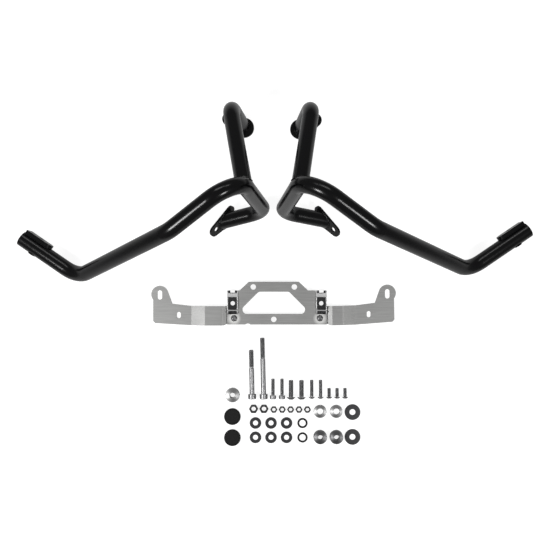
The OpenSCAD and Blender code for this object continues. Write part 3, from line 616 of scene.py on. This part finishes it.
def makeCapHead(v):
    wide, high = v["head"]
    head = addCylinder("head", wide / 2 - 0.2, -high, 0, 48)
    pickFaces(head, isBottom)
    bpy.ops.mesh.bevel(offset=0.8 * mm, segments=3, affect="EDGES")
    pickFaces(head, lambda face: abs(face.normal.z) < 0.1
              and round(math.degrees(math.atan2(face.center.y, face.center.x)) / 7.5 + 0.5) % 2 == 0)
    bpy.ops.mesh.extrude_faces_move(TRANSFORM_OT_shrink_fatten={"value": 0.2 * mm})
    leaveEdit()
    cutHexSocket(head, v)
    return head


# Button head: a low dome on a thin rim

domeRings = (0.93, 0.82, 0.66, 0.46, 0.24)  # shares of the head's radius


def makeButtonHead(v):
    wide, high = v["head"]
    ball = (wide * wide / 4 + high * high) / (2 * high)  # radius of the dome
    head = addCylinder("head", wide / 2, -0.5, 0, 48)
    pickFaces(head, isBottom)
    was = (wide / 2, 0.5)
    for share in domeRings:
        radius = wide / 2 * share
        height = max(math.sqrt(ball * ball - radius * radius) - (ball - high), was[1])
        bpy.ops.mesh.inset(thickness=(was[0] - radius) * mm, depth=(height - was[1]) * mm)
        was = (radius, height)
    leaveEdit()
    cutHexSocket(head, v)
    return head


screws = {
    "longSocketScrewA": {"d": 8, "pitch": 1.25, "long": 72.5, "thread": 30, "head": (13, 8), "key": 6,
                         "x": (-37.6,), "y": -203.6, "yaw": 1.3, "node": "socket_screw_m8_short"},
    "longSocketScrewB": {"d": 8, "pitch": 1.25, "long": 92.5, "thread": 34, "head": (13, 8), "key": 6,
                         "x": (-18.7,), "y": -203.6, "yaw": 1.4, "node": "socket_screw_m8_long"},
    "socketScrew": {"d": 6, "pitch": 1, "long": 27.5, "thread": 27.5, "head": (10, 6), "key": 5,
                    "x": (-3.3, 11.5), "y": -204, "yaw": 0, "node": "socket_screws_m6"},
    "largeButtonScrew": {"d": 8, "pitch": 1.25, "long": 28, "thread": 28, "head": (14, 4.4), "key": 5,
                         "x": (26.3, 43.5), "y": -205, "yaw": 0, "node": "button_screws_m8"},
    "buttonScrew": {"d": 6, "pitch": 1, "long": 28, "thread": 28, "head": (10.5, 3.3), "key": 4,
                    "x": (60.4, 74.9), "y": -203.8, "yaw": 0, "node": "button_screws_m6"},
    "shortButtonScrew": {"d": 6, "pitch": 1, "long": 14.5, "thread": 14.5, "head": (10.5, 3.3),
                         "key": 4, "x": (89, 102.1, 115.2), "y": -203.6, "yaw": 0,
                         "node": "short_button_screws_m6"},
}
jointScrew = {"d": 6, "pitch": 1, "long": 10, "thread": 10, "head": (10.5, 3.3), "key": 4}
joints = {"left": -67.0, "right": 73.5, "y": -70.8, "plateTop": 10}


def makeScrew(v):
    head = makeCapHead(v) if v["head"][1] > 5 else makeButtonHead(v)
    return joinPieces([head, *makeShank(v)])


for name, v in screws.items():
    tilt = math.degrees(math.atan((v["head"][0] - v["d"]) / (2 * v["long"])))
    rest = v["head"][0] / 2 * math.cos(math.radians(tilt))
    layOut(makeScrew(v), name,
           [(x, v["y"] + v["head"][1], rest, -90 - tilt, v["yaw"]) for x in v["x"]],
           screwSteel, "dark_steel", v["node"])
for side in ("left", "right"):
    layOut(makeScrew(jointScrew), side + "JointScrew",
           [(joints[side], joints["y"], joints["plateTop"], 180, 20)],
           screwSteel, "bright_steel", side + "_joint_screw")
print("stage: screws")


# Nuts: hexagon with both faces turned to a cone, and a thread in the bore

largeNut = {"flats": 13, "high": 6.5, "d": 8, "pitch": 1.25, "cone": 0.85,
            "places": [(-35.2, -220.3), (-18.2, -220.3)]}
smallNut = {"flats": 10, "high": 5, "d": 6, "pitch": 1, "cone": 0.7,
            "places": [(-1.9 + 13.8 * k, -221.6) for k in range(5)]}
jointNut = {"flats": 10, "high": 4, "d": 6, "pitch": 1, "cone": 0.7}


def makeNut(v):
    corner = v["flats"] / math.sqrt(3)
    nut = addCylinder("nut", corner, 0, v["high"], 6)
    turned = addCylinder("turned", corner + 0.05, 0, v["high"], 72)
    pickFaces(turned, lambda face: abs(face.normal.z) > 0.9)
    bpy.ops.mesh.bevel(offset=v["cone"] * mm, segments=1, affect="EDGES")
    leaveEdit()
    carve(nut, turned, "INTERSECT")
    carve(nut, addCylinder("bore", v["d"] / 2 + 0.1, -1, v["high"] + 1, 48))
    return joinPieces([nut, makeThread(v["d"] / 2 + 0.12, v["pitch"], 0.1, v["high"] - 0.1, -1, 0.3)])


for name, v, node in (("largeNut", largeNut, "nuts_m8"), ("smallNut", smallNut, "nuts_m6")):
    layOut(makeNut(v), name, [(x, y, 0, 0, 30) for x, y in v["places"]], nutSteel, "dark_steel", node)
for side in ("left", "right"):
    layOut(makeNut(jointNut), side + "JointNut", [(joints[side], joints["y"], 0, 0, 30)],
           nutSteel, "dark_steel", side + "_joint_nut")
print("stage: nuts")


# Weld beads: a rope of small overlapping pools along each seam, under the same coat

bars = {
    # the bars' centre lines, in millimetres and degrees, as in the solids
    "crest": (0, 0, 230), "upper": (216, 123, 190), "side": (181.2, 22), "drop": (47, 42),
    "leg": (100.7, 95), "return": (22, 5), "legHeight": 183, "legAside": -1.6,
    "tube": 12.5, "bend": 42,
    "tab": {"mid": 14, "thick": 3.5, "tilt": 57, "heading": -30.5},
    "endPlate": {"in": 3, "long": 48, "seat": 1, "weldAt": 7.4, "sleeveIn": 28, "sleeve": 6},
    "left": {"at": (-51.1, 134.9), "turn": 0, "mirror": 1, "side": 201.2, "end": (146.2, 113),
             "drop": -43.4, "low": (192.4, 64.6), "leg": 136.6, "return": -45},
    "right": {"at": (41.4, 137), "turn": -1.5, "mirror": -1, "side": 200.7, "end": (147.8, 119.6),
              "drop": -48.2, "low": (190.8, 67.2), "leg": 134.8, "return": -52},
}


def stepFrom(point, heading, run, height):
    a = math.radians(heading)
    return Vector((point[0] + run * math.cos(a), point[1] + run * math.sin(a), height))


def onBar(side, point):
    v = bars[side]
    a = math.radians(v["turn"])
    x = point[0] * math.cos(a) - point[1] * math.sin(a)
    y = point[0] * math.sin(a) + point[1] * math.cos(a)
    return Vector((v["mirror"] * x + v["at"][0] + kitShift[0], y + v["at"][1] + kitShift[1],
                   point[2])) * mm


def ringAround(axis):
    across = axis.cross(Vector((0, 0, 1)))
    if across.length < 0.1:
        across = axis.cross(Vector((1, 0, 0)))
    across.normalize()
    return across, axis.cross(across).normalized()


def rimOf(centre, axis, radius, count=96):
    a, b = ringAround(axis)
    turns = (2 * math.pi * k / count for k in range(count))
    return [centre + radius * (a * math.cos(t) + b * math.sin(t)) for t in turns]


def toPlane(point, along, root, normal):
    return point + along * ((root - point).dot(normal) / along.dot(normal))


def barLine(v, own):  # the corner points of a bar's centre lines
    crest = Vector(v["crest"])
    shoulder = stepFrom(crest, *v["upper"])
    knee = stepFrom(shoulder, own["side"], *v["side"])
    elbow = stepFrom(crest, own["drop"], *v["drop"])
    root = crest.lerp(elbow, (crest.z - v["legHeight"]) / (crest.z - elbow.z))
    root.x += v["legAside"]
    corner = stepFrom(root, v["leg"][0], own["leg"], v["leg"][1])
    return {"crest": crest, "shoulder": shoulder, "knee": knee, "elbow": elbow,
            "outer": stepFrom(knee, *own["end"], v["tube"]), "root": root, "corner": corner,
            "foot": stepFrom(corner, own["return"], *v["return"])}


def legSeam(v, at):  # where the leg meets the drop below the crest bend
    crest, r = at["crest"], v["tube"]
    down = (at["elbow"] - crest).normalized()
    up = (at["shoulder"] - crest).normalized()
    reach = v["bend"] * math.tan((math.pi - down.angle(up)) / 2)
    centre = crest + (down + up).normalized() * (v["bend"] / math.sin(down.angle(up) / 2))
    plane = down.cross(up).normalized()

    def offMain(point):  # distance from the main tube's centre line near the crest
        along = (point - crest).dot(down)
        if along >= reach:
            return (point - crest - down * along).length
        flat = point - centre
        lift = flat.dot(plane)
        return math.hypot((flat - plane * lift).length - v["bend"], lift)

    along = (at["corner"] - at["root"]).normalized()
    seam = []
    for rim in rimOf(at["root"], along, r):
        s = 0
        while offMain(rim + along * s) < r + 0.1 and s < 40:
            s += 0.1
        seam.append(rim + along * s)
    return seam


def footSeam(v, at):
    back = (at["foot"] - at["corner"]).normalized()
    return [toPlane(point, back, at["foot"], Vector((0, 0, 1)))
            for point in rimOf(at["foot"], back, v["tube"])]


def tabSeam(v, own, at):
    tab = v["tab"]
    tilt, turn = math.radians(tab["tilt"]), math.radians(tab["heading"])
    facing = Vector((math.sin(tilt) * math.cos(turn), math.sin(tilt) * math.sin(turn), math.cos(tilt)))
    height = tab["mid"] * math.sin(tilt) + tab["thick"] * math.cos(tilt)
    tabAt = stepFrom(at["elbow"], *own["low"], height)
    low = (tabAt - at["elbow"]).normalized()
    return [toPlane(point, low, tabAt, facing) for point in rimOf(tabAt, low, v["tube"] + 0.3)]


def endSeams(v, at):  # above and below the end plate, and round the sleeve's far end
    plate, outer, r = v["endPlate"], at["outer"], v["tube"]
    inward = (at["knee"] - outer).normalized()
    side = Vector((0, 0, 1)).cross(-inward).normalized()
    over = inward.cross(side)
    upper, lower = [], []
    for k in range(44):
        x = plate["in"] + 0.5 + (plate["long"] - 2) * k / 43
        upper.append(outer + inward * x - side * (r - plate["seat"] - 1.1) + over * plate["weldAt"])
        lower.append(outer + inward * x - side * (r - plate["seat"] - 1.1) - over * plate["weldAt"])
    sleeve = []
    for k in range(48):
        t = 2 * math.pi * k / 48
        x, z = plate["sleeve"] * math.cos(t), plate["sleeve"] * math.sin(t)
        sleeve.append(outer + inward * (plate["sleeveIn"] + x) + over * z
                      + side * math.sqrt(r * r - z * z))
    return upper, lower, sleeve


def barSeams(v, own):  # each seam's points, the bead's radius, and whether it closes
    at = barLine(v, own)
    upper, lower, sleeve = endSeams(v, at)
    return {"legWeld": (legSeam(v, at), 1.2, True), "footWeld": (footSeam(v, at), 1.4, True),
            "tabWeld": (tabSeam(v, own, at), 1.1, True), "endPlateWeldTop": (upper, 1.4, False),
            "endPlateWeldBelow": (lower, 1.4, False), "sleeveWeld": (sleeve, 0.7, True)}


def layBead(name, points, radius, closed):
    curve = bpy.data.curves.new(name, "CURVE")
    curve.dimensions = "3D"
    curve.bevel_depth = radius * mm
    curve.bevel_resolution = 3
    curve.use_fill_caps = True
    spline = curve.splines.new("POLY")
    spline.points.add(len(points) - 1)
    spline.use_cyclic_u = closed
    for k, point in enumerate(points):
        spline.points[k].co = (*point, 1)
        spline.points[k].radius = 1.0 + 0.14 * math.sin(k * math.pi / 2) + 0.05 * math.sin(k * 0.7)
    bead = bpy.data.objects.new(name, curve)
    scene.collection.objects.link(bead)
    makeActive(bead)
    bpy.ops.object.convert(target="MESH")
    settle(bpy.context.object, powderCoat, "black_coat")


for side in ("left", "right"):
    for seam, (points, radius, closed) in barSeams(bars, bars[side]).items():
        layBead(side + seam[0].upper() + seam[1:], [onBar(side, p) for p in points], radius, closed)
print("stage: weld beads")


# Clip nuts: folded spring sheet with side walls and a guide lip, and a threaded barrel below

clipNut = {
    "wide": 17.5, "sheet": 1, "bore": 8.5, "pitch": 1.25, "barrel": 12.5, "barrelHigh": 4.8,
    # underside and top of the bracket plate, its edge, and how far the fold bulges past it
    "plate": (7, 10), "edgeY": -25.2, "bulge": 1,
    # along the leaf, from the middle of the bore: the lip with its lift, then both leaves' ends
    "lip": ((-17.5, 0.2), (-14.5, 1.9)), "leaf": (-12.1, 10.5), "lowLeaf": -7.6,
    "wall": 2, "wallLong": 20, "wallMiddle": 0.5, "notch": (7.7, 10, 40),
    "y": -46.5, "x": {"left": -69.5, "right": 76},
}


def makeLeaf(v):
    low, top = v["plate"]
    fold = v["edgeY"] - v["sheet"] - (top - low) / 2 - v["bulge"] - v["y"]
    middle, radius = (low + top) / 2, (top - low) / 2 + v["bulge"] + v["sheet"] / 2
    half = v["sheet"] / 2
    line = [(y, top + lift) for y, lift in v["lip"]]
    line += [(v["leaf"][0], top + half), (v["leaf"][1], top + half)]
    line += [(fold + radius * math.sin(t), middle + radius * math.cos(t))
             for t in (math.pi * k / 10 for k in range(11))]
    line += [(v["leaf"][1], low - half), (v["lowLeaf"], low - half)]
    bpy.ops.object.select_all(action="DESELECT")
    bpy.ops.mesh.primitive_plane_add(size=v["wide"] * mm)
    leaf = bpy.context.object
    leaf.name = "clip"
    for vertex in leaf.data.vertices:  # the plane becomes the lip's first strip
        y, z = line[0] if vertex.co.y < 0 else line[1]
        vertex.co.y, vertex.co.z = y * mm, z * mm
    pickFaces(leaf, lambda face: False)
    bpy.ops.mesh.select_mode(type="EDGE")
    leaveEdit()
    for edge in leaf.data.edges:
        edge.select = all(abs(leaf.data.vertices[k].co.y - line[1][0] * mm) < 1e-7
                          for k in edge.vertices)
    bpy.ops.object.mode_set(mode="EDIT")
    for a, b in zip(line[1:], line[2:]):
        bpy.ops.mesh.extrude_region_move(TRANSFORM_OT_translate={
            "value": (0, (b[0] - a[0]) * mm, (b[1] - a[1]) * mm)})
    leaveEdit()
    pickAll(leaf)
    bpy.ops.mesh.normals_make_consistent(inside=False)
    leaveEdit()
    finishWith(leaf, "SOLIDIFY", thickness=v["sheet"] * mm, offset=0)
    softenEdges(leaf, 0.15, 1, 50)
    return leaf


def makeClipNut(v):
    low, top = v["plate"]
    leaf = makeLeaf(v)
    walls = []
    for side in (-1, 1):
        high = v["sheet"] / 2 + v["wall"]
        wall = addBlock((v["sheet"], v["wallLong"], high),
                        (side * (v["wide"] - v["sheet"]) / 2, v["wallMiddle"],
                         top + v["sheet"] / 2 + high / 2))
        softenEdges(wall, 0.3, 3)
        walls.append(wall)
    foot = low - v["sheet"] - v["barrelHigh"]
    barrel = addCylinder("barrel", v["barrel"] / 2, foot + 0.01, low - 0.6)
    softenEdges(barrel, 0.4, 2)
    for part in (leaf, barrel):
        carve(part, addCylinder("bore", v["bore"] / 2, -5, 20, 48))
    carve(leaf, addBlock(v["notch"], (0, v["edgeY"] - v["y"], top)))
    thread = makeThread(v["bore"] / 2 + 0.02, v["pitch"], foot + 0.3, low, -1)
    return joinPieces([leaf, *walls, barrel, thread])


for side, x in clipNut["x"].items():
    layOut(makeClipNut(clipNut), side + "ClipNut", [(x, clipNut["y"], 0, 0, 0)],
           springSteel, "dark_steel", side + "_clip_nut")
print("stage: clip nuts")


# Sheet parts: the solids' own outline, its laser cut edges broken by a file

filedEdge = 0.25

for name in ("bracket_plate", "left_arm", "right_arm"):
    sheet = bpy.data.objects.new("filed" + name.title().replace("_", ""), nodes[name].data.copy())
    scene.collection.objects.link(sheet)
    pickAll(sheet)
    bpy.ops.mesh.remove_doubles(threshold=0.002 * mm)
    bpy.ops.mesh.dissolve_limited(angle_limit=math.radians(0.6))
    leaveEdit()
    softenEdges(sheet, filedEdge, 2, 40)
    settle(sheet, sheetSteel, "bare_steel", name)
print("stage: bracket sheets")

# The tubes and plates of the bars are right as they are, and take the coat
for name, piece in nodes.items():
    black = name.startswith(("left_", "right_")) and name.endswith(("tube", "_plate", "sleeve"))
    material = powderCoat if black else ringRubber if name == "rubber_rings" else screwSteel
    for place in piece.material_slots:
        place.material = material
print("stage: finishes on the frame's nodes")
